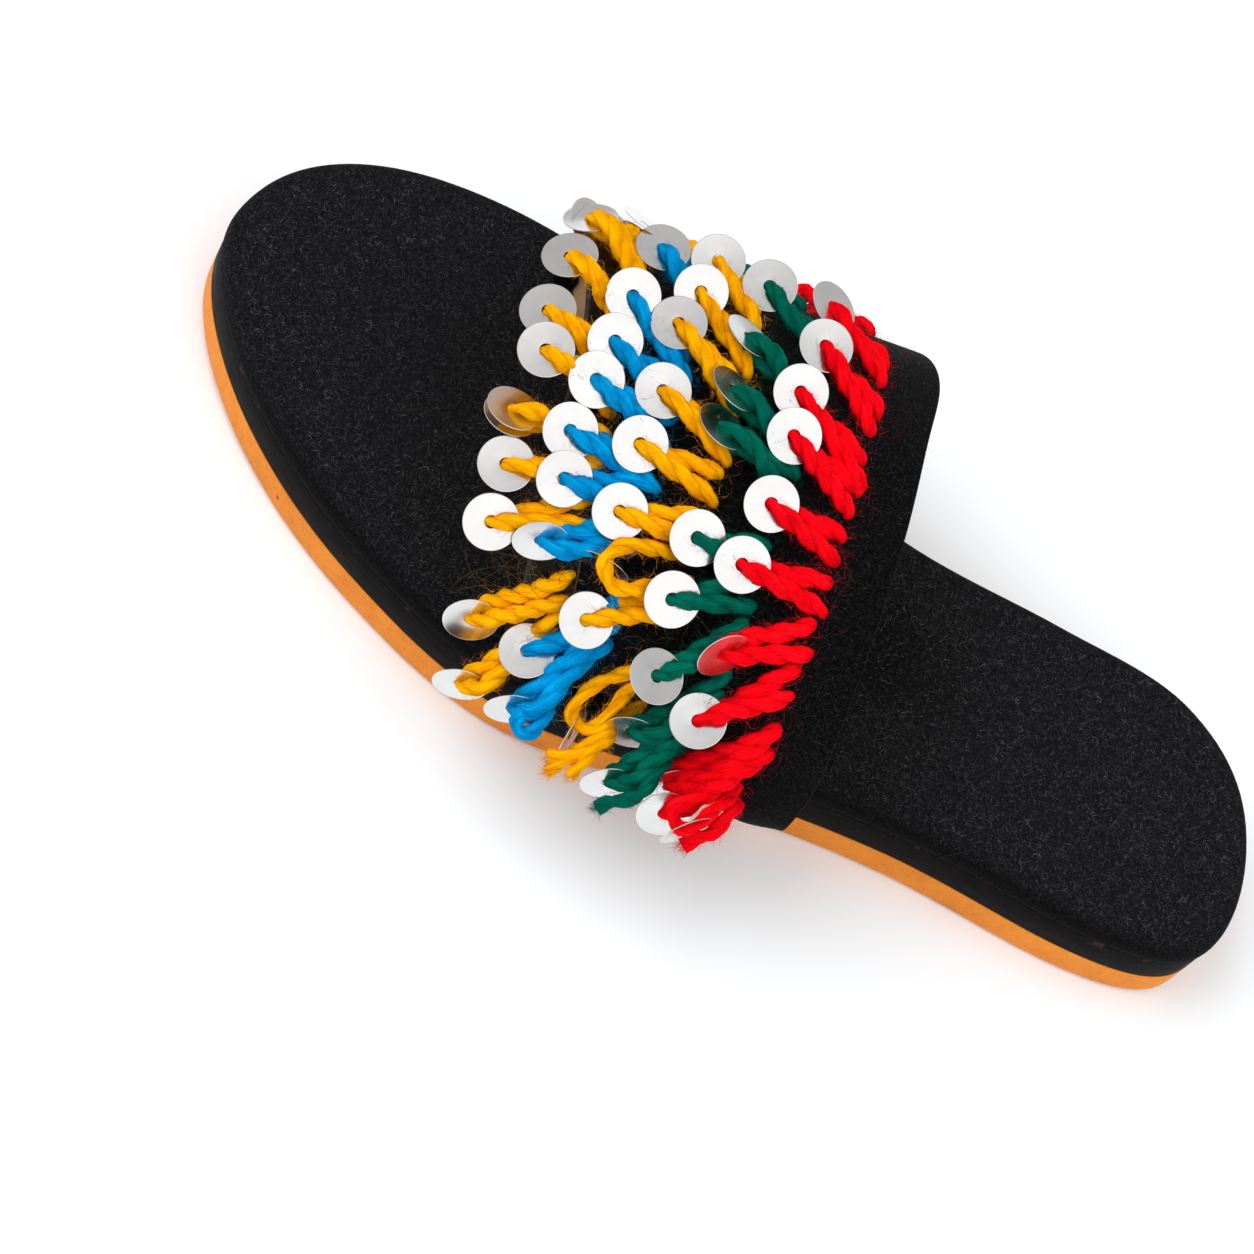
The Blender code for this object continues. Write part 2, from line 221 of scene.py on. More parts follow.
LAID = (
    # node, ply radius, cut end, points of a strand that hangs free
    ("fringe_gold_back", 1.22, False, (
        (-32.6, 11.6, 68.6), (-34.5, 14.6, 69.4), (-37.0, 18.0, 70.9), (-39.1, 21.2, 71.3), (-41.6, 23.2, 70.6),
        (-44.2, 23.6, 69.4), (-46.2, 21.9, 68.3), (-46.8, 19.4, 67.6), (-45.6, 16.7, 67.5), (-42.7, 14.5, 67.0),
        (-38.2, 12.5, 64.9))),
    ("fringe_blue", 1.18, False, (
        (-49.5, 16.4, 38.9), (-53.8, 16.1, 38.0), (-60.2, 15.9, 39.5), (-64.3, 15.3, 38.2), (-66.6, 15.6, 36.8),
        (-67.5, 17.7, 35.9), (-66.4, 19.3, 36.5), (-63.7, 19.2, 37.9), (-58.9, 19.0, 39.0), (-52.4, 18.8, 37.6),
        (-49.6, 18.8, 39.6))),
    ("fringe_gold_back", 1.12, False, (
        (-47.6, 3.8, 53.8), (-49.9, 5.6, 53.5), (-50.8, 7.0, 50.9), (-51.8, 9.1, 47.2), (-54.0, 10.5, 46.2),
        (-56.5, 11.6, 44.7), (-58.6, 11.9, 43.1), (-60.3, 11.5, 41.6), (-61.3, 9.9, 40.7), (-61.2, 7.3, 40.9),
        (-59.6, 5.7, 42.4), (-57.6, 5.3, 43.8), (-54.9, 5.2, 45.2), (-52.0, 5.0, 46.3), (-50.9, 4.3, 50.8),
        (-48.6, 2.8, 52.1))),
    ("fringe_gold_back", 1.08, True, (
        (-50.3, 0.6, 45.5), (-52.3, 2.0, 40.6), (-57.6, 3.4, 40.7), (-62.5, 4.5, 41.3), (-65.4, 5.9, 40.1),
        (-67.6, 7.7, 38.8), (-69.2, 10.2, 37.2))),
    ("fringe_gold_back", 1.08, True, (
        (-44.1, 0.1, 31.9), (-51.7, 1.5, 36.1), (-59.6, 2.7, 40.2), (-64.5, 3.8, 40.7), (-67.5, 4.2, 38.9),
        (-69.7, 4.5, 37.0))),
    ("fringe_gold_back", 0.95, True, (
        (-60.0, 3.0, 40.5), (-64.2, 4.6, 39.9), (-68.1, 6.9, 38.0), (-71.2, 8.7, 35.5))),
    ("fringe_green", 1.15, True, (
        (-50.8, -10.2, 44.8), (-54.3, -9.3, 41.2), (-59.2, -9.0, 41.8), (-63.6, -9.1, 41.5), (-67.0, -8.4, 40.7),
        (-69.2, -6.4, 39.9), (-70.5, -4.5, 38.7), (-72.2, -3.4, 37.2))),
    ("fringe_red", 1.2, True, (
        (-50.9, -23.7, 47.5), (-53.3, -25.4, 41.5), (-59.3, -25.5, 42.2), (-64.4, -24.7, 42.0),
        (-66.8, -22.8, 41.1), (-69.1, -21.5, 39.3))),
    ("fringe_red", 1.12, False, (
        (-50.5, -20.6, 48.9), (-56.4, -19.5, 45.4), (-62.7, -17.6, 45.7), (-65.8, -15.6, 45.0),
        (-67.5, -16.0, 44.1), (-68.5, -18.8, 43.5), (-66.8, -20.9, 44.0), (-62.2, -22.2, 45.0),
        (-56.4, -23.6, 43.8), (-51.3, -24.1, 44.7))),
)
TUCK = 1.9
TUCK_EASE = 2.0
TUCK_HEIGHT = 4.0
TUCK_MOST = 3.2
LOOP_FUZZ = 420
FUZZ_LENGTHS = (0.6, 2.8)
FUZZ_WIDTHS = (0.035, 0.075)
FIBRE_STEPS = 5
BRUSH_FIBRES = 160
BRUSH_LENGTHS = (0.8, 2.6)
BRUSH_WIDTHS = (0.06, 0.12)
NAP_STEPS = 4
NAP_WIDTHS = (0.04, 0.08)
STRAY_HAIRS = 260
TOE_HAIRS = 60
HAIR_STEPS = 18
HAIR_WIDTHS = (0.085, 0.125)

# Floor, sky and lamps, in metres
FLOOR_SIZE = 4.0
BRIGHT_SKY = (-0.55, -0.62, 1.2)
SKY = (
    # nearness of a direction to the bright side, light from there
    (0.0, (0.54, 0.535, 0.53)), (0.45, (0.60, 0.595, 0.59)), (0.75, 0.87), (0.92, 1.22), (1.0, 1.32),
)
LAMP_SIZE = 1.2
LAMP_AIM = (0.0, 0.0, 0.04)
LAMPS = (
    # name, place, power
    ("key", (-0.2, 0.72, 1.2), 11.5),
    ("heel_side", BRIGHT_SKY, 3.0),
)


# Curves and surfaces

def smooth(values, at):
    """Value at a place, counted in rows, of the smooth curve through evenly counted rows."""
    values = np.asarray(values, dtype=float)
    last = len(values) - 1
    row = min(max(int(at), 0), last - 1)
    t = at - row
    here = values[row]
    ahead = values[row + 1]
    before = values[row - 1] if row > 0 else 2.0 * here - ahead
    beyond = values[row + 2] if row + 2 <= last else 2.0 * ahead - here
    linear = ahead - before
    square = 2.0 * before - 5.0 * here + 4.0 * ahead - beyond
    cube = 3.0 * here - before - 3.0 * ahead + beyond
    return 0.5 * (2.0 * here + linear * t + square * t * t + cube * t ** 3)


def unit(vector):
    return vector / np.linalg.norm(vector)


def units(rows):
    return rows / np.linalg.norm(rows, axis=1)[:, None]


def plan_loop(inset):
    """The sole's outline, heel tip, lateral side, toe tip, medial side, moved inward."""
    sides = []
    for side, sign in ((1, -1.0), (0, 1.0)):
        points = []
        for k in range(PLAN_ROWS + 1):
            angle = math.pi * k / PLAN_ROWS
            factor = smooth([row[side] for row in PLAN], math.degrees(angle) / PLAN_STEP_DEG)
            points.append((sign * factor * math.sin(angle), -0.5 * LENGTH * math.cos(angle)))
        sides.append(np.array(points))
    loop = np.concatenate([sides[0], sides[1][-2:0:-1]])
    run = units(np.roll(loop, -1, axis=0) - np.roll(loop, 1, axis=0))
    return loop + inset * np.stack([run[:, 1], -run[:, 0]], axis=1)


def spring(y):
    share = np.maximum(0.0, (y - SPRING_FROM) / (0.5 * LENGTH - SPRING_FROM))
    return SPRING_RISE * share * share


def strap_edges(at):
    heel = smooth([row[0] for row in STRAP], at)
    toe = smooth([row[1] for row in STRAP], at)
    return heel, toe


@functools.lru_cache(maxsize=None)
def strap_frame(at):
    """Edge point, direction to the toe edge, width and the outward normals at both edges."""
    step = 0.02
    low = strap_edges(max(at - step, 0.0))
    high = strap_edges(min(at + step, STRAP_LAST))
    heel, toe = strap_edges(at)
    width = np.linalg.norm(toe - heel)
    across = (toe - heel) / width
    heel_out = unit(np.cross(high[0] - low[0], across))
    toe_out = unit(np.cross(high[1] - low[1], across))
    return heel, across, width, heel_out, toe_out


def strap_width(at):
    return strap_frame(at)[2]


def strap_out(at, place):
    """Outward normal of the strap a distance along from its heel edge."""
    width, heel_out, toe_out = strap_frame(at)[2:]
    share = place / width
    return unit((1.0 - share) * heel_out + share * toe_out)


def strap_point(at, place, off):
    """Point of the strap a distance along from its heel edge and off its outer face."""
    heel, across = strap_frame(at)[:2]
    return heel + place * across + off * strap_out(at, place)


def rows_per_mm(at, place):
    ahead = strap_point(min(at + 0.05, STRAP_LAST), place, 0.0)
    behind = strap_point(max(at - 0.05, 0.0), place, 0.0)
    return 0.1 / np.linalg.norm(ahead - behind)


def soft_rise(shape, at, place):
    """Height of a soft rise on the strap's face."""
    height, row, rows, middle, reach = shape
    return height * math.exp(-((at - row) / rows) ** 2 - ((place - middle) / reach) ** 2)


# Modelling steps

def new_piece(name):
    """The mesh just added, under its name."""
    thing = bpy.context.active_object
    thing.name = name
    thing.data.name = name
    return thing


def pick(thing):
    bpy.ops.object.select_all(action="DESELECT")
    thing.select_set(True)
    bpy.context.view_layer.objects.active = thing


def add_grid(name, rows, columns, place):
    """A grid whose vertices are set on a surface, place(share along, share across)."""
    bpy.ops.mesh.primitive_grid_add(x_subdivisions=columns, y_subdivisions=rows, size=1.0)
    thing = new_piece(name)
    for vertex in thing.data.vertices:
        u = vertex.co.x + 0.5
        v = vertex.co.y + 0.5
        vertex.co = [MM * c for c in place(v, u)]
    edit(thing)
    bpy.ops.mesh.flip_normals()
    leave_edit()
    return thing


def apply_modifier(thing, kind, **settings):
    bpy.context.view_layer.objects.active = thing
    modifier = thing.modifiers.new(kind.lower(), kind)
    for key, value in settings.items():
        setattr(modifier, key, value)
    bpy.ops.object.modifier_apply(modifier=modifier.name)


def edit(thing):
    pick(thing)
    bpy.ops.object.mode_set(mode="EDIT")
    bpy.ops.mesh.select_all(action="SELECT")


def leave_edit():
    bpy.ops.object.mode_set(mode="OBJECT")


def shade(thing, degrees):
    pick(thing)
    bpy.ops.object.shade_smooth_by_angle(angle=math.radians(degrees))


def face_out(thing):
    edit(thing)
    bpy.ops.mesh.normals_make_consistent(inside=False)
    leave_edit()


def thicken(thing, thickness, edge_round, segments):
    """Gives a sheet its thickness inward from its face and rounds its edges."""
    apply_modifier(thing, "SOLIDIFY", thickness=MM * thickness, offset=-1.0)
    apply_modifier(thing, "BEVEL", width=MM * edge_round, segments=segments, limit_method="ANGLE",
                   angle_limit=math.radians(50))
    shade(thing, 50)


def dress(thing, finish, slot, *nodes):
    """Gives a piece its finish, hangs it on the root and hides the parts it stands for."""
    thing.data.materials.clear()
    thing.data.materials.append(finish)
    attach(thing, "root")
    if nodes:
        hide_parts(*nodes)
    return thing


def new_object(name, data):
    thing = bpy.data.objects.new(name, data)
    bpy.context.scene.collection.objects.link(thing)
    return thing


def joined_mesh(name, points, faces, uvs=None, grooves=None):
    """A mesh from arrays of points in millimetres and four-cornered faces."""
    points = np.concatenate(points) * MM
    faces = np.concatenate(faces)
    mesh = bpy.data.meshes.new(name)
    mesh.vertices.add(len(points))
    mesh.vertices.foreach_set("co", points.ravel())
    mesh.loops.add(faces.size)
    mesh.loops.foreach_set("vertex_index", faces.ravel())
    mesh.polygons.add(len(faces))
    mesh.polygons.foreach_set("loop_start", np.arange(0, faces.size, 4))
    mesh.update(calc_edges=True)
    if uvs is not None:
        layer = mesh.uv_layers.new(name="UVMap")
        layer.data.foreach_set("uv", np.concatenate(uvs)[faces.ravel()].ravel())
    if grooves is not None:
        mesh.attributes.new("groove", "FLOAT", "POINT").data.foreach_set("value", np.concatenate(grooves))
    mesh.polygons.foreach_set("use_smooth", np.ones(len(faces), dtype=bool))
    mesh.validate()
    return new_object(name, mesh)


# Finishes

class Finish:
    """A material or a backdrop, and the steps by which its nodes are put together."""

    def __init__(self, owner, shader):
        owner.use_nodes = True
        self.made = owner
        self.nodes = owner.node_tree.nodes
        self.links = owner.node_tree.links
        self.shader = self.nodes[shader]
        self.places = self.nodes.new("ShaderNodeTexCoord").outputs
        self.where = self.places["Object"]

    def feed(self, entry, value):
        """Gives an input the output of another node or a plain value."""
        if isinstance(value, bpy.types.NodeSocket):
            self.links.new(value, entry)
        else:
            entry.default_value = value

    def put(self, entry, value):
        self.feed(self.shader.inputs[entry], value)

    def node(self, kind, *feeds, **settings):
        """A new node: feeds go to its first inputs, settings to its options or inputs by name."""
        made = self.nodes.new(kind)
        for entry, value in zip(made.inputs, feeds):
            self.feed(entry, value)
        for key, value in settings.items():
            if key in made.inputs:
                self.feed(made.inputs[key], value)
            else:
                setattr(made, key, value)
        return made

    def noise(self, scale, detail=3.0, rough=0.6, where=None):
        where = self.where if where is None else where
        made = self.node("ShaderNodeTexNoise", where, Scale=scale, Detail=detail, Roughness=rough)
        return made.outputs["Fac"]

    def height(self):
        return self.node("ShaderNodeSeparateXYZ", self.where).outputs["Z"]

    def ramp(self, value, *stops):
        """Colour by value; each stop is a place with a grey or a colour."""
        made = self.node("ShaderNodeValToRGB", value)
        scale = made.color_ramp
        while len(scale.elements) < len(stops):
            scale.elements.new(0.5)
        for element, (place, tone) in zip(scale.elements, stops):
            element.position = place
            element.color = (*np.broadcast_to(tone, 3), 1.0)
        return made.outputs["Color"]

    def mixed(self, colour, other, share, blend="MIX"):
        made = self.node("ShaderNodeMix", data_type="RGBA", blend_type=blend, Factor=share)
        self.feed(made.inputs[6], colour)
        self.feed(made.inputs[7], other)
        return made.outputs[2]

    def sheen(self, weight, tint):
        self.put("Sheen Weight", weight)
        self.put("Sheen Roughness", 0.5)
        self.put("Sheen Tint", (*tint, 1.0))

    def bump(self, *layers):
        """Relief in layers of height, strength and distance, each laid over the one before."""
        below = None
        for height, strength, distance in layers:
            made = self.node("ShaderNodeBump", Strength=strength, Distance=distance, Height=height)
            if below is not None:
                self.feed(made.inputs["Normal"], below)
            below = made.outputs["Normal"]
        self.put("Normal", below)


def new_finish(name, gloss=0.5):
    finish = Finish(bpy.data.materials.new(name), "Principled BSDF")
    finish.put("Specular IOR Level", gloss)
    return finish


def suede_finish(name, deep, middle, pale, sheen, rim=(-1.0, -0.5)):
    """Short fibres that lie three ways and wander a little; below the rim a painted shade darkens them."""
    finish = new_finish(name, 0.05)
    wander = finish.node("ShaderNodeTexNoise", finish.where, Scale=700.0, Detail=1.0)
    drawn = finish.node("ShaderNodeVectorMath", wander.outputs["Color"], (0.0012, 0.0012, 0.0012), finish.where,
                        operation="MULTIPLY_ADD")
    fibre = None
    for degrees in (15.0, 75.0, 135.0):
        laid = finish.node("ShaderNodeMapping", drawn.outputs[0], vector_type="TEXTURE",
                           Rotation=(0.0, 0.0, math.radians(degrees)), Scale=(0.00024, 0.0011, 0.0006))
        streak = finish.noise(1.0, 1.5, 0.5, laid.outputs["Vector"])
        if fibre is None:
            fibre = streak
        else:
            fibre = finish.node("ShaderNodeMath", fibre, streak, operation="MAXIMUM").outputs[0]
    body = finish.ramp(fibre, (0.50, deep), (0.62, middle), (0.76, pale))
    # Painted shade: below the rim (the footbed's side wall) the colour is darkened to a quarter.
    painted_side_shade = finish.node("ShaderNodeMapRange", finish.height())
    for entry, value in (("From Min", rim[0]), ("From Max", rim[1]), ("To Min", 0.25)):
        painted_side_shade.inputs[entry].default_value = value
    finish.put("Base Color", finish.mixed(body, painted_side_shade.outputs["Result"], 1.0, "MULTIPLY"))
    finish.put("Roughness", finish.ramp(fibre, (0.4, 1.0), (0.8, 0.8)))
    finish.sheen(sheen, (0.75, 0.78, 0.85))
    finish.bump((fibre, 0.6, 0.0004))
    return finish.made


def outsole_finish():
    finish = new_finish("tan_crepe", 0.12)
    cloud = finish.noise(55.0, 5.0, 0.62)
    speck = finish.noise(1100.0)
    body = finish.ramp(cloud, (0.3, (0.64, 0.188, 0.018)), (0.55, (0.77, 0.248, 0.025)),
                       (0.75, (0.82, 0.288, 0.034)))
    grain = finish.ramp(speck, (0.28, 0.84), (0.46, 1.0), (0.72, 1.04))
    cells = finish.node("ShaderNodeTexVoronoi", finish.where, Scale=75.0, Randomness=1.0)
    pits = finish.ramp(cells.outputs["Distance"], (0.025, 0.22), (0.05, 1.0))
    tinted = finish.mixed(body, grain, 1.0, "MULTIPLY")
    finish.put("Base Color", finish.mixed(tinted, pits, 0.85, "MULTIPLY"))
    finish.put("Roughness", finish.ramp(speck, (0.3, 0.62), (0.7, 0.45)))
    finish.bump((speck, 0.18, 0.0003), (pits, 0.35, 0.0004))
    return finish.made


def midsole_finish():
    """Black rubber, rubbed along its length, with blots of glue under its upper edge."""
    finish = new_finish("black_rubber", 0.045)
    rubs = finish.node("ShaderNodeMapping", finish.where, Scale=(1.0, 1.0, 9.0))
    streak = finish.noise(160.0, 6.0, 0.7, rubs.outputs["Vector"])
    grain = finish.noise(1500.0)
    rubbed = finish.ramp(streak, (0.35, 0.0016), (0.6, (0.0030, 0.0029, 0.0028)), (0.78, (0.012, 0.0112, 0.0105)))
    rim = finish.ramp(finish.height(), (0.0168, 0.0), (0.0178, 1.0))
    blot = finish.ramp(finish.noise(210.0, 3.0, 0.55), (0.62, 0.0), (0.68, 1.0))
    glued = finish.node("ShaderNodeMath", rim, blot, operation="MULTIPLY").outputs[0]
    finish.put("Base Color", finish.mixed(rubbed, (0.055, 0.032, 0.02, 1.0), glued))
    finish.put("Roughness", finish.ramp(streak, (0.3, 0.66), (0.7, 0.48)))
    finish.bump((grain, 0.15, 0.0002), (streak, 0.12, 0.0003))
    return finish.made


def leather_finish(name, dark, light, rough_low, rough_high, grain_scale, depth, gloss):
    finish = new_finish(name, gloss)
    cell = finish.node("ShaderNodeTexVoronoi", finish.where, Scale=grain_scale, feature="SMOOTH_F1")
    cloud = finish.noise(70.0, 4.0)
    finish.put("Base Color", finish.ramp(cloud, (0.3, dark), (0.7, light)))
    finish.put("Roughness", finish.ramp(cloud, (0.3, rough_low), (0.7, rough_high)))
    finish.bump((cell.outputs["Distance"], 0.3, depth), (cloud, 0.25, 0.0008))
    return finish.made


def yarn_finish(name, dark, main, light):
    """Wool drawn along the ply, with painted shade in the groove between the plies."""
    finish = new_finish(name, 0.03)
    lines = finish.node("ShaderNodeMapping", finish.places["UV"], Scale=(1.6, 21.0, 1.0))
    fibre = finish.noise(1.0, 5.0, 0.65, lines.outputs["Vector"])
    cloud = finish.noise(240.0)
    tone = finish.node("ShaderNodeMix", data_type="FLOAT", Factor=0.35, A=fibre, B=cloud).outputs[0]
    body = finish.ramp(tone, (0.34, dark), (0.50, main), (0.66, light))
    # Painted shade: sides of a ply that face the other ply are darkened, down to 0.58 of the colour.
    depth = finish.node("ShaderNodeAttribute", attribute_name="groove").outputs["Fac"]
    shadow = finish.ramp(depth, (0.25, 1.0), (0.6, 0.9), (0.8, 0.58))
    finish.put("Base Color", finish.mixed(body, shadow, 1.0, "MULTIPLY"))
    finish.put("Roughness", finish.ramp(cloud, (0.3, 0.95), (0.7, 0.78)))
    finish.sheen(0.06, light)
    finish.bump((fibre, 0.7, 0.0004))
    return finish.made


def hair_finish(name, dark, light):
    finish = new_finish(name, 0.2)
    patch = finish.noise(400.0, 2.0, 0.5)
    finish.put("Base Color", finish.ramp(patch, (0.35, dark), (0.65, light)))
    finish.put("Roughness", finish.ramp(patch, (0.3, 0.85), (0.7, 0.6)))
    return finish.made


def sequin_finish():
    finish = new_finish("sequin_silver")
    cloud = finish.noise(130.0)
    finish.put("Base Color", finish.ramp(cloud, (0.3, (0.73, 0.718, 0.705)), (0.7, (0.80, 0.794, 0.788))))
    finish.put("Roughness", finish.ramp(cloud, (0.3, 0.17), (0.7, 0.22)))
    finish.put("Metallic", 1.0)
    return finish.made


def floor_finish():
    finish = new_finish("pale_floor", 0.1)
    cloud = finish.noise(3.0, 2.0, 0.5)
    finish.put("Base Color", finish.ramp(cloud, (0.3, (0.86, 0.885, 0.905)), (0.7, (0.88, 0.905, 0.925))))
    finish.put("Roughness", 0.8)
    return finish.made


WOOL = {
    # dark, main and light tone of a yarn, dark and light of its fuzz, dark and light of its loose hairs
    "red": ((0.50, 0.0003, 0.003), (0.95, 0.0012, 0.007), (1.0, 0.006, 0.016),
            (0.45, 0.002, 0.008), (0.90, 0.006, 0.015), (0.05, 0.002, 0.005), (0.14, 0.006, 0.012)),
    "green": ((0.0, 0.045, 0.030), (0.0003, 0.112, 0.072), (0.001, 0.175, 0.115),
              (0.0, 0.055, 0.035), (0.001, 0.14, 0.09), (0.002, 0.016, 0.010), (0.004, 0.045, 0.03)),
    "gold": ((0.62, 0.20, 0.0003), (1.0, 0.405, 0.0008), (1.0, 0.55, 0.002),
             (0.50, 0.17, 0.001), (0.95, 0.42, 0.003), (0.045, 0.022, 0.006), (0.15, 0.08, 0.018)),
    "blue": ((0.0, 0.11, 0.29), (0.0003, 0.265, 0.62), (0.001, 0.39, 0.82),
             (0.0, 0.14, 0.36), (0.002, 0.32, 0.74), (0.002, 0.02, 0.05), (0.004, 0.06, 0.14)),
}
YARNS = {yarn: yarn_finish(yarn + "_wool", *tones[:3]) for yarn, tones in WOOL.items()}
FUZZ = {yarn: hair_finish(yarn + "_fuzz", *tones[3:5]) for yarn, tones in WOOL.items()}
WISPS = {yarn: hair_finish(yarn + "_wisp", *tones[5:]) for yarn, tones in WOOL.items()}


# Sole plates and footbed

def sole_plate(name, edge):
    """A plate on the sole's plan: a circle set on it and drawn up ring by ring, then closed."""
    count = 2 * PLAN_ROWS
    bpy.ops.mesh.primitive_circle_add(vertices=count, radius=1.0, fill_type="NOTHING")
    thing = new_piece(name)
    rings = [(plan_loop(edge[0][0]) * share, edge[0][1]) for share in reversed(CAP_SHARES)]
    rings += [(plan_loop(inset), height) for inset, height in edge]
    rings += [(plan_loop(edge[-1][0]) * share, edge[-1][1]) for share in CAP_SHARES]
    order = np.arange(count)
    for k, (loop, height) in enumerate(rings):
        if k > 0:
            edit(thing)
            bpy.ops.mesh.select_all(action="DESELECT")
            leave_edit()
            for index in order:
                thing.data.vertices[index].select = True
            bpy.ops.object.mode_set(mode="EDIT")
            bpy.ops.mesh.select_mode(type="VERT")
            bpy.ops.mesh.extrude_edges_move()
            leave_edit()
            drawn = [v.index for v in thing.data.vertices if v.select]
            spots = {tuple(np.round(thing.data.vertices[i].co, 7)): i for i in drawn}
            order = [spots[tuple(np.round(thing.data.vertices[i].co, 7))] for i in order]
        for index, (x, y) in zip(order, loop):
            thing.data.vertices[index].co = (MM * x, MM * y, MM * height)
    for height in (edge[0][1], edge[-1][1]):
        edit(thing)
        bpy.ops.mesh.select_all(action="DESELECT")
        bpy.ops.mesh.select_mode(type="VERT")
        bpy.ops.mesh.select_non_manifold(extend=False)
        leave_edit()
        for vertex in thing.data.vertices:
            vertex.select = vertex.select and abs(vertex.co.z - MM * height) < 1e-6
        bpy.ops.object.mode_set(mode="EDIT")
        bpy.ops.mesh.merge(type="CENTER")
        leave_edit()
    face_out(thing)
    for vertex in thing.data.vertices:
        vertex.co.z += MM * float(spring(vertex.co.y / MM))
    shade(thing, 40)
    return thing


def cut_slot(footbed, row):
    """Cuts the slit through which the strap goes down into the footbed."""
    heel = np.array(STRAP[row][0])
    toe = np.array(STRAP[row][1])
    across = unit(toe - heel)
    out = unit(strap_frame(row)[3] * (1.0, 1.0, 0.0))
    middle = 0.5 * (heel + toe) - 0.5 * WALL * out
    half_long = 0.5 * np.linalg.norm(toe - heel) + SLOT_CLEARANCE
    half_wide = 0.5 * WALL + SLOT_CLEARANCE
    bpy.ops.mesh.primitive_cube_add(size=1.0)
    block = bpy.context.active_object
    for vertex in block.data.vertices:
        a, b, c = vertex.co
        corner = middle + 2.0 * a * half_long * across + 2.0 * b * half_wide * out
        vertex.co = (MM * corner[0], MM * corner[1], MM * (SLOT_MID_HEIGHT + c * SLOT_DEPTH))
    face_out(block)
    apply_modifier(footbed, "BOOLEAN", operation="DIFFERENCE", solver="EXACT", object=block)
    bpy.data.objects.remove(block)


def build_sole():
    outsole = sole_plate("outsole_crepe", OUTSOLE_EDGE)
    dress(outsole, outsole_finish(), "outsole_rubber", "outsole")
    midsole = sole_plate("midsole_slab", MIDSOLE_EDGE)
    dress(midsole, midsole_finish(), "midsole_rubber", "midsole")
    insole = sole_plate("insole_cover", INSOLE_EDGE)
    cut_slot(insole, MOUTH_LATERAL)
    cut_slot(insole, MOUTH_MEDIAL)
    shade(insole, 40)
    # The footbed's side wall below 22.5 mm gets painted shade.
    suede = suede_finish("footbed_nap", (0.0040, 0.0040, 0.0046), (0.0088, 0.0088, 0.0097),
                         (0.032, 0.032, 0.035), 0.02, (0.0225, 0.0248))
    dress(insole, suede, "footbed_suede", "insole")


# Strap, lining and binding

def build_strap():
    def outside(along, across):
        at = along * STRAP_LAST
        place = across * (strap_width(at) - BORDER)
        return strap_point(at, place, soft_rise(SIDE_FOLD, at, place) - soft_rise(CORNER_TUCK, at, place))

    suede = add_grid("strap_suede_face", STRAP_ROWS, STRAP_COLUMNS, outside)
    thicken(suede, SUEDE_THICK, 0.42, 3)
    dress(suede, suede_finish("strap_nap", (0.0013, 0.0013, 0.0014), (0.0030, 0.0030, 0.0032),
                              (0.014, 0.014, 0.015), 0.03), "strap_suede", "strap")

    def inside(along, across):
        at = along * STRAP_LAST
        place = LINING_INSET + across * (strap_width(at) - LINING_BORDER)
        sag = 0.16 * math.sin(37.0 * along + 9.0 * across) * math.sin(5.0 * across + 11.0 * along)
        return strap_point(at, place, -LINING_BACK + 0.4 * min(0.0, sag))

    lining = add_grid("strap_lining", STRAP_ROWS, STRAP_COLUMNS, inside)
    thicken(lining, LINING_THICK, 0.3, 2)
    dress(lining, leather_finish("beige_lining", (0.50, 0.30, 0.145), (0.62, 0.40, 0.215),
                                 0.5, 0.66, 900.0, 0.00015, 0.18), "strap_suede", "strap")


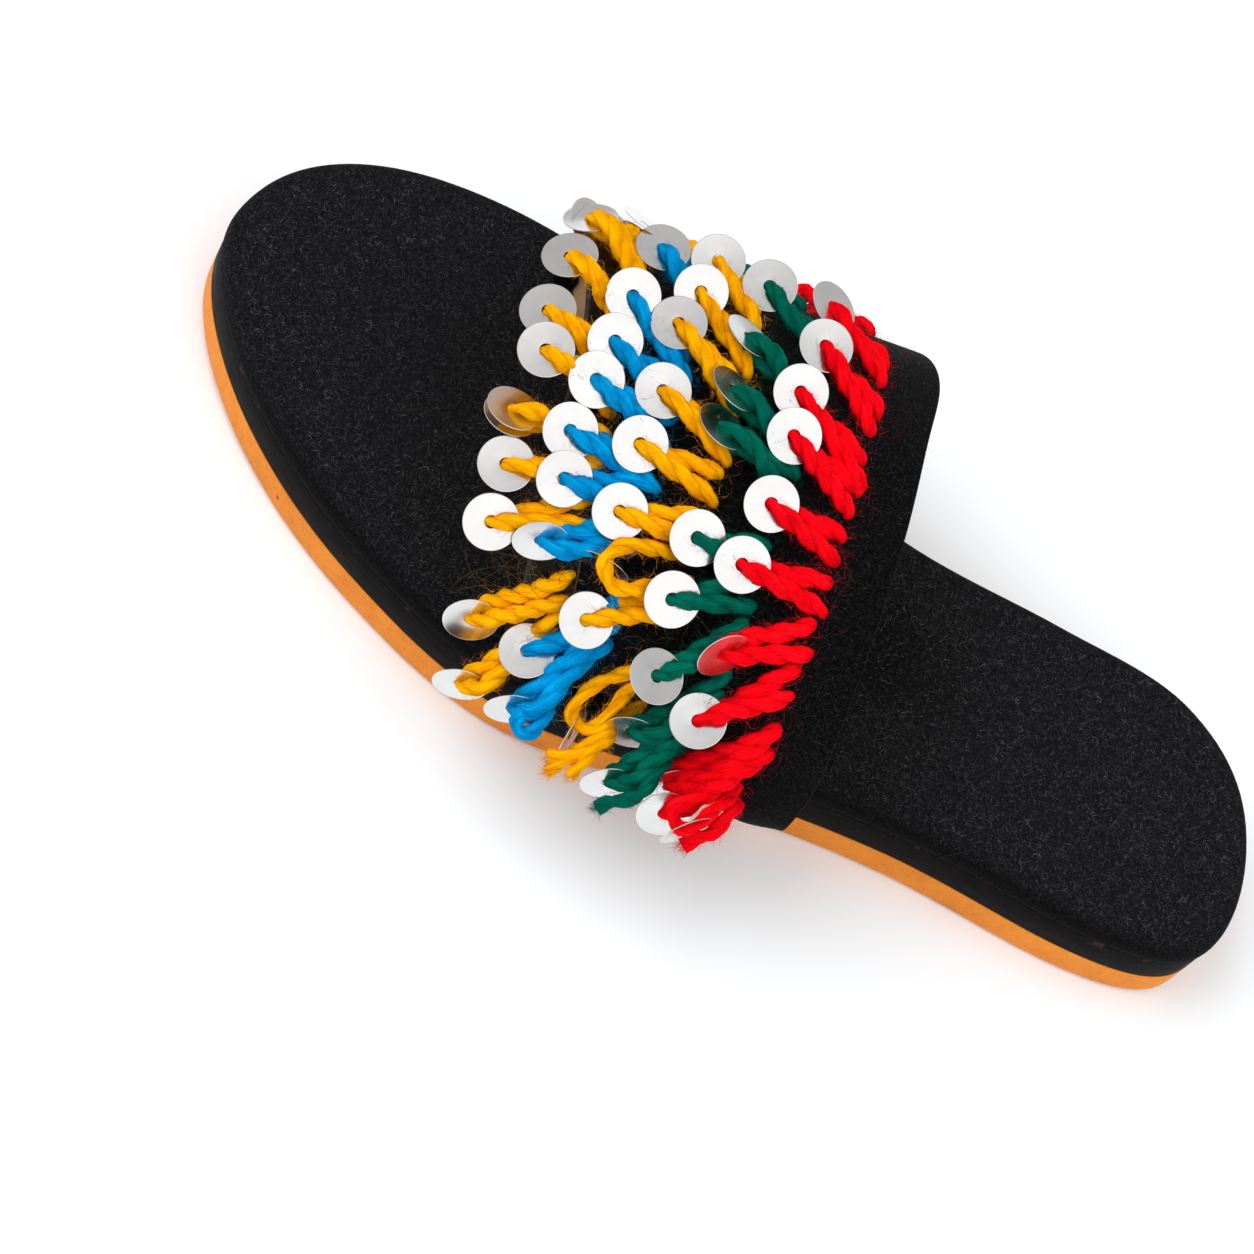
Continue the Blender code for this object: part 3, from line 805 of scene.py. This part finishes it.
def build_binding():
    section_last = len(BINDING) - 1
    backs = [row[0] for row in BINDING]
    offs = [row[1] for row in BINDING]
    hem_height, hem_shift, hem_pitch = HEM_WAVE
    pucker = chance.normal(size=PUCKERS)

    def wave(at, pitch):
        place = (at * PUCKER_RUN / pitch) % (PUCKERS - 1)
        k = int(place)
        t = place - k
        t = t * t * (3.0 - 2.0 * t)
        return (1.0 - t) * pucker[k] + t * pucker[k + 1]

    def folded(along, across):
        at = BINDING_FROM + along * (BINDING_TO - BINDING_FROM)
        where = across * section_last
        back = float(smooth(backs, where))
        off = float(smooth(offs, where))
        roll = math.exp(-((where - ROLL_MIDDLE) / ROLL_REACH) ** 2)
        off += roll * sum(height * wave(at + shift, pitch) for height, shift, pitch in PUCKER_WAVES)
        if where < STITCHED_TO:
            for line in STITCH_BACKS:
                off -= STITCH_SINK * math.exp(-((back - line) / STITCH_SINK_WIDTH) ** 2)
        turned = max(0.0, (where - HEM_FROM) / 2.0)
        back += turned * hem_height * wave(at + hem_shift, hem_pitch)
        return strap_point(at, strap_width(at) - back, off)

    binding = add_grid("toe_binding_leather", BINDING_ROWS, BINDING_COLUMNS, folded)
    apply_modifier(binding, "SOLIDIFY", thickness=MM * BINDING_THICK, offset=-1.0)
    shade(binding, 60)
    dress(binding, leather_finish("black_binding", (0.002, 0.002, 0.0023), (0.005, 0.0048, 0.0048),
                                  0.26, 0.40, 1300.0, 0.0001, 0.13), "binding_leather", "toe_binding")

    points = []
    faces = []
    for line in STITCH_BACKS:
        at = BINDING_FROM + STITCH_END_GAP
        while at < BINDING_TO - STITCH_END_GAP:
            place = strap_width(at) - line
            step = rows_per_mm(at, place)
            middle = strap_point(at, place, STITCH_LIFT)
            run = strap_point(at + 0.5 * STITCH_LENGTH * step, place, STITCH_LIFT) - middle
            out = strap_out(at, place)
            side = unit(np.cross(out, run)) * 0.5 * STITCH_WIDTH
            rings = []
            for share, lift, wide in STITCH_RINGS:
                centre = middle + share * run + lift * out
                rings += [centre + wide * side, centre + wide * 0.5 * STITCH_WIDTH * out,
                          centre - wide * side, centre - wide * 0.5 * STITCH_WIDTH * out]
            points.append(np.array(rings))
            faces.append(tube_faces(len(STITCH_RINGS), 4) + len(faces) * len(rings))
            at += STITCH_PITCH * step
    stitches = joined_mesh("binding_stitches", points, faces)
    dress(stitches, leather_finish("waxed_thread", (0.006, 0.006, 0.0065), (0.016, 0.0155, 0.0155),
                                   0.35, 0.5, 2500.0, 0.0001, 0.13), "binding_leather", "toe_binding")


# Yarn loops and sequins

def spline(controls, step):
    """Points at an even step along the smooth curve through the control points."""
    controls = np.array(controls)
    fine = np.array([smooth(controls, at) for at in np.linspace(0.0, len(controls) - 1, 24 * len(controls))])
    run = np.concatenate([[0.0], np.cumsum(np.linalg.norm(np.diff(fine, axis=0), axis=1))])
    count = max(8, int(run[-1] / step))
    wanted = np.linspace(0.0, run[-1], count)
    path = np.stack([np.interp(wanted, run, fine[:, c]) for c in range(3)], axis=1)
    return path, wanted


def carried_frames(path, first):
    """Two directions across a path at each of its points, carried along without twist."""
    run = units(np.gradient(path, axis=0))
    ups = []
    up = first
    for tangent in run:
        up = unit(up - (up @ tangent) * tangent)
        ups.append(up)
    ups = np.array(ups)
    return ups, np.cross(run, ups)


def tube_faces(number, count):
    """Faces that join a number of rings of points into a tube and close its ends."""
    rows = np.arange(number - 1)[:, None] * count
    ring = np.arange(count)[None, :]
    following = (ring + 1) % count
    wall = np.stack([rows + ring, rows + following, rows + count + following, rows + count + ring], axis=2)
    k = np.arange(count // 2 - 1)
    near_cap = np.stack([count - 1 - k, count - 2 - k, k + 1, k], axis=1)
    far_cap = (number - 1) * count + near_cap[:, ::-1]
    return np.concatenate([wall.reshape(-1, 4), near_cap, far_cap])


def tube(path, radii, ups, sides, count, along):
    """Points, faces and UVs of a closed tube; the ends are drawn in by their radii."""
    number = len(path)
    angles = 2.0 * math.pi * np.arange(count) / count
    spokes = np.cos(angles)[None, :, None] * ups[:, None, :] + np.sin(angles)[None, :, None] * sides[:, None, :]
    points = (path[:, None, :] + radii[:, None, None] * spokes).reshape(-1, 3)
    uv = np.stack([np.repeat(along, count), np.tile(np.arange(count) / count, number)], axis=1)
    return points, tube_faces(number, count), uv


class Gather:
    """Collects the tubes and ribbons of one piece."""

    def __init__(self):
        self.points = []
        self.faces = []
        self.uvs = []
        self.grooves = []
        self.count = 0

    def add(self, points, faces, uvs=None, groove=None):
        self.points.append(points)
        self.faces.append(faces + self.count)
        self.uvs.append(np.zeros((len(points), 2)) if uvs is None else uvs)
        if groove is not None:
            self.grooves.append(groove)
        self.count += len(points)

    def piece(self, name):
        return joined_mesh(name, self.points, self.faces, self.uvs, self.grooves or None)


def add_strand(gather, path, along, radius, width, first, phase, cut=False):
    """A two-ply yarn along a path, each ply a tube that winds round the other."""
    ups, sides = carried_frames(path, first)
    turn = phase + 2.0 * math.pi * along / (TWIST_PITCH * chance.uniform(0.85, 1.5))
    left = np.full(len(along), ROOT_TAPER) if cut else along[-1] - along
    end = np.clip(np.minimum(along, left) / ROOT_TAPER, 0.0, 1.0)
    rounded = 0.58 + 0.42 * np.sin(0.5 * math.pi * end)
    apart = 0.25 + 0.75 * np.sin(0.5 * math.pi * end)
    for ply in (0.0, math.pi):
        lean = np.cos(turn + ply)[:, None] * ups + np.sin(turn + ply)[:, None] * sides
        centre = path + (PLY_APART * radius * width * apart)[:, None] * lean
        swell = 1.0 + 0.05 * np.sin(along * 1.9 + phase + ply) + 0.04 * np.sin(along * 4.3 + 2.0 * phase)
        radii = radius * width * rounded * swell
        points, faces, uv = tube(centre, radii, ups, sides, PLY_SIDES, 0.1 * along + phase + ply)
        spokes = 2.0 * math.pi * np.arange(PLY_SIDES) / PLY_SIDES
        # How far each side of the ply faces the other ply; the yarn's finish paints shade from it.
        inward = 0.5 - 0.5 * np.cos(spokes[None, :] - (turn + ply)[:, None])
        gather.add(points, faces, uv, inward.ravel())


def add_ribbon(gather, path, width, across):
    """A flat fibre along a path."""
    half = 0.5 * width * across
    taper = np.linspace(1.0, 0.35, len(path))[:, None]
    points = np.stack([path - taper * half, path + taper * half], axis=1).reshape(-1, 3)
    k = 2 * np.arange(len(path) - 1)
    gather.add(points, np.stack([k, k + 1, k + 3, k + 2], axis=1))


def curl(start, heading, length, steps, bend):
    """A curling fibre path from a start point: it keeps turning one way, with some wander."""
    path = [start]
    turning = bend * chance.normal(size=3)
    for _ in range(steps):
        turning = 0.8 * turning + 0.45 * bend * chance.normal(size=3)
        heading = unit(heading + turning)
        path.append(path[-1] + heading * length / steps)
    return np.array(path)


def add_fibre(gather, start, heading, lengths, widths, bend):
    """A short fibre that curls away from its start."""
    path = curl(start, heading, chance.uniform(*lengths), FIBRE_STEPS, bend)
    add_ribbon(gather, path, chance.uniform(*widths), unit(np.cross(heading, chance.normal(size=3))))


def add_fuzz(gather, path, radius, width):
    """The fibres that stand off a yarn all round."""
    run = units(np.gradient(path, axis=0))
    for k in chance.integers(1, len(path) - 1, LOOP_FUZZ):
        away = unit(np.cross(run[k], chance.normal(size=3)))
        start = path[k] + 1.45 * radius * width[k] * away
        heading = unit(away * chance.uniform(0.3, 1.0) + run[k] * chance.choice((-1.0, 1.0)))
        add_fibre(gather, start, heading, FUZZ_LENGTHS, FUZZ_WIDTHS, 0.34)


def add_brush(gather, path, radius):
    """The loose fibres of a cut yarn end."""
    ahead = unit(path[-1] - path[-4])
    for _ in range(BRUSH_FIBRES):
        start = path[-2] + radius * chance.uniform(-1.1, 1.1, 3)
        heading = unit(ahead + 0.45 * chance.normal(size=3))
        add_fibre(gather, start, heading, BRUSH_LENGTHS, BRUSH_WIDTHS, 0.25)


def add_wisp(gather, start, out, length, reach, toward=np.zeros(3)):
    """A long loose hair that curls in wide bows close over the strap."""
    heading = unit(np.cross(out, unit(chance.normal(size=3))) + toward)
    step = length / HAIR_STEPS
    bow = chance.choice((-1.0, 1.0)) / reach
    path = [start]
    for _ in range(HAIR_STEPS):
        if chance.uniform() < 0.07:
            bow = -bow
        heading = unit(heading + step * bow * np.cross(out, heading) + 0.05 * chance.normal(size=3))
        path.append(path[-1] + step * heading)
    path = np.array(path)
    low = np.maximum(0.0, 0.3 - (path - start) @ out)
    path += low[:, None] * out
    add_ribbon(gather, path, chance.uniform(*HAIR_WIDTHS), unit(np.cross(out, heading) + 0.4 * out))


def sequin_model():
    """One sequin, cupped, with a rolled rim and a centre hole; its axis is Z and its face +Z."""
    bpy.ops.mesh.primitive_circle_add(vertices=SEQUIN_SIDES, radius=SEQUIN_RADIUS, fill_type="NOTHING")
    thing = bpy.context.active_object
    for vertex in thing.data.vertices:
        vertex.co.z = SEQUIN_CUP
    edit(thing)
    reach = SEQUIN_RADIUS
    for radius, drop in SEQUIN_RINGS:
        bpy.ops.mesh.extrude_edges_move(TRANSFORM_OT_translate={"value": (0.0, 0.0, drop)})
        share = radius / reach
        bpy.ops.transform.resize(value=(share, share, 1.0))
        reach = radius
    leave_edit()
    face_out(thing)
    apply_modifier(thing, "SOLIDIFY", thickness=SEQUIN_THICK, offset=0.0)
    points = np.array([tuple(v.co) for v in thing.data.vertices])
    faces = np.array([tuple(f.vertices) for f in thing.data.polygons if len(f.vertices) == 4])
    bpy.data.objects.remove(thing)
    return points, faces


def loop_controls(roots, outs, centre, face):
    """Control points of a loop: up over the sequin, down its hole, and back beneath it."""
    def by_root(end, lift, share):
        return roots[end] + lift * outs[end] + share * (centre - roots[end])

    def by_hole(end, reach, height):
        way = roots[end] - centre
        return centre + reach * unit(way - (way @ face) * face) + height * face

    return [
        by_root(0, -1.0, 0.0), by_root(0, 0.9, 0.03), by_root(0, 1.5, 0.25),
        by_hole(0, 6.6, 1.7), by_hole(0, 3.4, 1.6), by_hole(0, 1.1, 0.9),
        centre,
        by_hole(1, 0.0, -0.9), by_hole(1, 1.8, -1.9), by_hole(1, 5.6, -1.9),
        by_root(1, 1.3, 0.25), by_root(1, 0.9, 0.03), by_root(1, -1.0, 0.0),
    ]


def facing(tilt, turn):
    """Direction a sequin faces, tilted from the way that most of them lie."""
    lean = math.cos(math.radians(turn)) * VIEW_RIGHT + math.sin(math.radians(turn)) * VIEW_UP
    return math.cos(math.radians(tilt)) * VIEW_BACK + math.sin(math.radians(tilt)) * lean


def row_loops(node, seen):
    """Sequin places and faces of a row: those listed, then even ones down the medial side."""
    loops = [(at, place, off, facing(tilt, turn)) for at, place, off, tilt, turn in seen]
    reach = np.mean([place for at, place, off, tilt, turn in seen[:TOP_LOOPS]])
    for at in MEDIAL_SEQUINS[node]:
        place = min(reach, strap_width(at) - MEDIAL_EDGE_GAP) - chance.uniform(0.0, MEDIAL_WANDER)
        face = unit(strap_out(at, place) + MEDIAL_SCATTER * chance.normal(size=3))
        loops.append((at, place, MEDIAL_HEIGHT, face))
    return loops


def loop_path(share, at, place, off, face):
    """The yarn's path from its first root, through its sequin, to its second root."""
    droops = np.array(DROOP)
    root_at = at + float(np.interp(at, droops[:, 0], droops[:, 1]))
    half = 0.5 * STRAND_ROOT_GAP * rows_per_mm(root_at, share * strap_width(root_at))
    roots = []
    outs = []
    for root in (root_at - half, root_at + half):
        root_place = share * strap_width(root) + chance.uniform(-0.7, 0.7)
        roots.append(strap_point(root, root_place, 0.0))
        outs.append(strap_out(root, root_place))
    centre = strap_point(at, place, off)
    path, along = spline(loop_controls(roots, outs, centre, face), PLY_STEP)
    return path, along, centre, outs[0]


def tuck_under(path, discs):
    """Eases a path down below the sequins of the rows behind it."""
    moved = path.copy()
    for centre, face in discs:
        away = moved - centre
        high = away @ face
        flat = np.linalg.norm(away - high[:, None] * face, axis=1)
        near = np.clip((SEQUIN_RADIUS + TUCK_EASE - flat) / TUCK_EASE, 0.0, 1.0)
        press = np.where((high > -TUCK) & (high < TUCK_HEIGHT), -TUCK - high, 0.0) * near
        moved += np.clip(press, -TUCK_MOST, 0.0)[:, None] * face
    ends = np.minimum(np.arange(len(path)), np.arange(len(path))[::-1])
    hold = np.clip((ends - 2.0) / 5.0, 0.0, 1.0)[:, None]
    shift = (moved - path) * hold
    for _ in range(4):
        shift[1:-1] = 0.25 * shift[:-2] + 0.5 * shift[1:-1] + 0.25 * shift[2:]
    return path + shift


def add_sequin(gather, disc, centre, face):
    side = unit(np.cross(face, VIEW_UP if abs(face @ VIEW_UP) < 0.9 else VIEW_RIGHT))
    points, faces = disc
    gather.add(centre + points @ np.stack([side, np.cross(face, side), face]), faces)


def build_row(node, yarn, share, radius, loops, paths, disc, silver):
    strands = Gather()
    fuzz = Gather()
    sequins = Gather()
    wisps = Gather()
    for (*_, face), (path, along, centre, out) in zip(loops, paths):
        near = np.linalg.norm(path - centre, axis=1)
        width_here = 0.60 + 0.40 * np.clip((near - 0.8) / 3.4, 0.0, 1.0) ** 0.7
        phase = chance.uniform(0.0, 2.0 * math.pi)
        add_strand(strands, path, along, radius, width_here, out, phase)
        add_fuzz(fuzz, path, radius, width_here)
        add_sequin(sequins, disc, centre, face)
    for name, centre, tilt, turn in LOOSE_SEQUINS:
        if name == node:
            add_sequin(sequins, disc, np.array(centre), facing(tilt, turn))
    for name, laid_radius, cut, points in LAID:
        if name == node:
            path, along = spline(points, PLY_STEP)
            width_here = np.ones(len(path))
            add_strand(strands, path, along, laid_radius, width_here, VIEW_BACK, chance.uniform(0.0, 6.0), cut)
            add_fuzz(fuzz, path, laid_radius, width_here)
            if cut:
                add_brush(fuzz, path, laid_radius)
    for _ in range(STRAY_HAIRS):
        at = chance.uniform(4.8, 12.6)
        place = share * strap_width(at) + 2.2 * chance.normal() + 2.0
        add_wisp(wisps, strap_point(at, place, chance.uniform(0.3, 2.4)), strap_out(at, place),
                 chance.uniform(3.0, 10.0), chance.uniform(1.2, 4.5))
    if node == ROWS[-1][0]:
        for _ in range(TOE_HAIRS):
            at = chance.uniform(5.4, 7.4)
            place = strap_width(at) + chance.uniform(-5.0, 1.0)
            add_wisp(wisps, strap_point(at, place, chance.uniform(0.2, 3.5)), strap_out(at, place),
                     chance.uniform(7.0, 19.0), chance.uniform(4.0, 14.0), 1.1 * strap_frame(at)[1])
    slot = "yarn_" + yarn
    dress(strands.piece(node + "_yarn"), YARNS[yarn], slot, node)
    dress(fuzz.piece(node + "_fuzz"), FUZZ[yarn], slot, node)
    dress(wisps.piece(node + "_wisps"), WISPS[yarn], slot, node)
    dress(sequins.piece(node + "_sequins"), silver, None, node)


def build_fringe():
    disc = sequin_model()
    silver = sequin_finish()
    behind = []
    for node, yarn, share, radius, seen in ROWS:
        loops = row_loops(node, seen)
        paths = []
        for loop in loops:
            path, along, centre, out = loop_path(share, *loop)
            paths.append((tuck_under(path, behind), along, centre, out))
        behind = [(path[2], loop[3]) for path, loop in zip(paths, loops)]
        build_row(node, yarn, share, radius, loops, paths, disc, silver)


# Nap of the suede

def build_nap():
    nap = Gather()
    loop = plan_loop(INSOLE_EDGE[-2][0])
    lateral = loop[:PLAN_ROWS + 1]
    medial = np.concatenate([loop[:1], loop[:PLAN_ROWS - 1:-1]])
    while len(nap.points) < FOOTBED_FIBRES:
        x, y = chance.uniform(-60.0, 60.0), chance.uniform(-0.5, 0.5) * LENGTH
        if not np.interp(y, lateral[:, 1], lateral[:, 0]) < x < np.interp(y, medial[:, 1], medial[:, 0]):
            continue
        start = np.array((x, y, INSOLE_TOP + 0.03))
        start[2] += float(spring(start[1]))
        angle = chance.uniform(0.0, 2.0 * math.pi)
        heading = np.array((math.cos(angle), math.sin(angle), 0.1))
        fibre = curl(start, heading, chance.uniform(0.5, 1.9), NAP_STEPS, 0.32)
        fibre[:, 2] = np.maximum(fibre[:, 2], start[2])
        fibre[:, 2] = np.minimum(fibre[:, 2], start[2] + 0.35)
        add_ribbon(nap, fibre, chance.uniform(*NAP_WIDTHS), np.array((-heading[1], heading[0], 0.3)))
    dress(nap.piece("insole_fibres"), hair_finish("pale_footbed_fibre", (0.03, 0.03, 0.032), (0.14, 0.14, 0.145)),
          "footbed_suede", "insole")
    nap = Gather()
    for _ in range(STRAP_FIBRES):
        at = chance.uniform(2.2, 15.0)
        place = chance.uniform(0.6, 14.0)
        out = strap_out(at, place)
        start = strap_point(at, place, 0.03)
        side = unit(np.cross(out, chance.normal(size=3)))
        fibre = curl(start, side + 0.1 * out, chance.uniform(0.4, 1.5), NAP_STEPS, 0.3)
        add_ribbon(nap, fibre, chance.uniform(*NAP_WIDTHS), unit(np.cross(out, side)))
    dress(nap.piece("strap_fibres"), hair_finish("pale_strap_fibre", (0.016, 0.016, 0.018), (0.06, 0.06, 0.064)),
          "strap_suede", "strap")


# Stage

def build_stage():
    bpy.ops.mesh.primitive_plane_add(size=FLOOR_SIZE)
    floor = bpy.context.active_object
    floor.name = "floor"
    floor.data.materials.append(floor_finish())

    sky = Finish(bpy.data.worlds.new("studio"), "Background")
    bpy.context.scene.world = sky.made
    bright = sky.node("ShaderNodeVectorMath", sky.places["Generated"], unit(np.array(BRIGHT_SKY)),
                      operation="DOT_PRODUCT")
    sky.put("Color", sky.ramp(bright.outputs["Value"], *SKY))
    sky.put("Strength", 1.0)
    for name, place, power in LAMPS:
        lamp = bpy.data.lights.new(name, "AREA")
        lamp.shape = "DISK"
        lamp.size = LAMP_SIZE
        lamp.energy = power
        thing = new_object(name, lamp)
        thing.location = place
        thing.visible_glossy = False
        aim = -unit(np.array(place) - np.array(LAMP_AIM))
        right = unit(np.cross(aim, (0.0, 0.0, 1.0)))
        thing.rotation_euler = Matrix((right, np.cross(right, aim), -aim)).transposed().to_euler()

    bpy.context.scene.view_settings.view_transform = "Standard"
    lens = bpy.data.cameras.new("camera")
    lens.lens = VIEW_LENS
    lens.sensor_width = VIEW_SENSOR
    lens.clip_start = 0.01
    camera = new_object("camera", lens)
    turned = Matrix((VIEW_RIGHT, VIEW_UP, VIEW_BACK)).transposed().to_4x4()
    turned.translation = [MM * c for c in VIEW_PLACE]
    camera.matrix_world = turned
    bpy.context.scene.camera = camera


build_sole()
build_strap()
build_binding()
build_fringe()
build_nap()
build_stage()
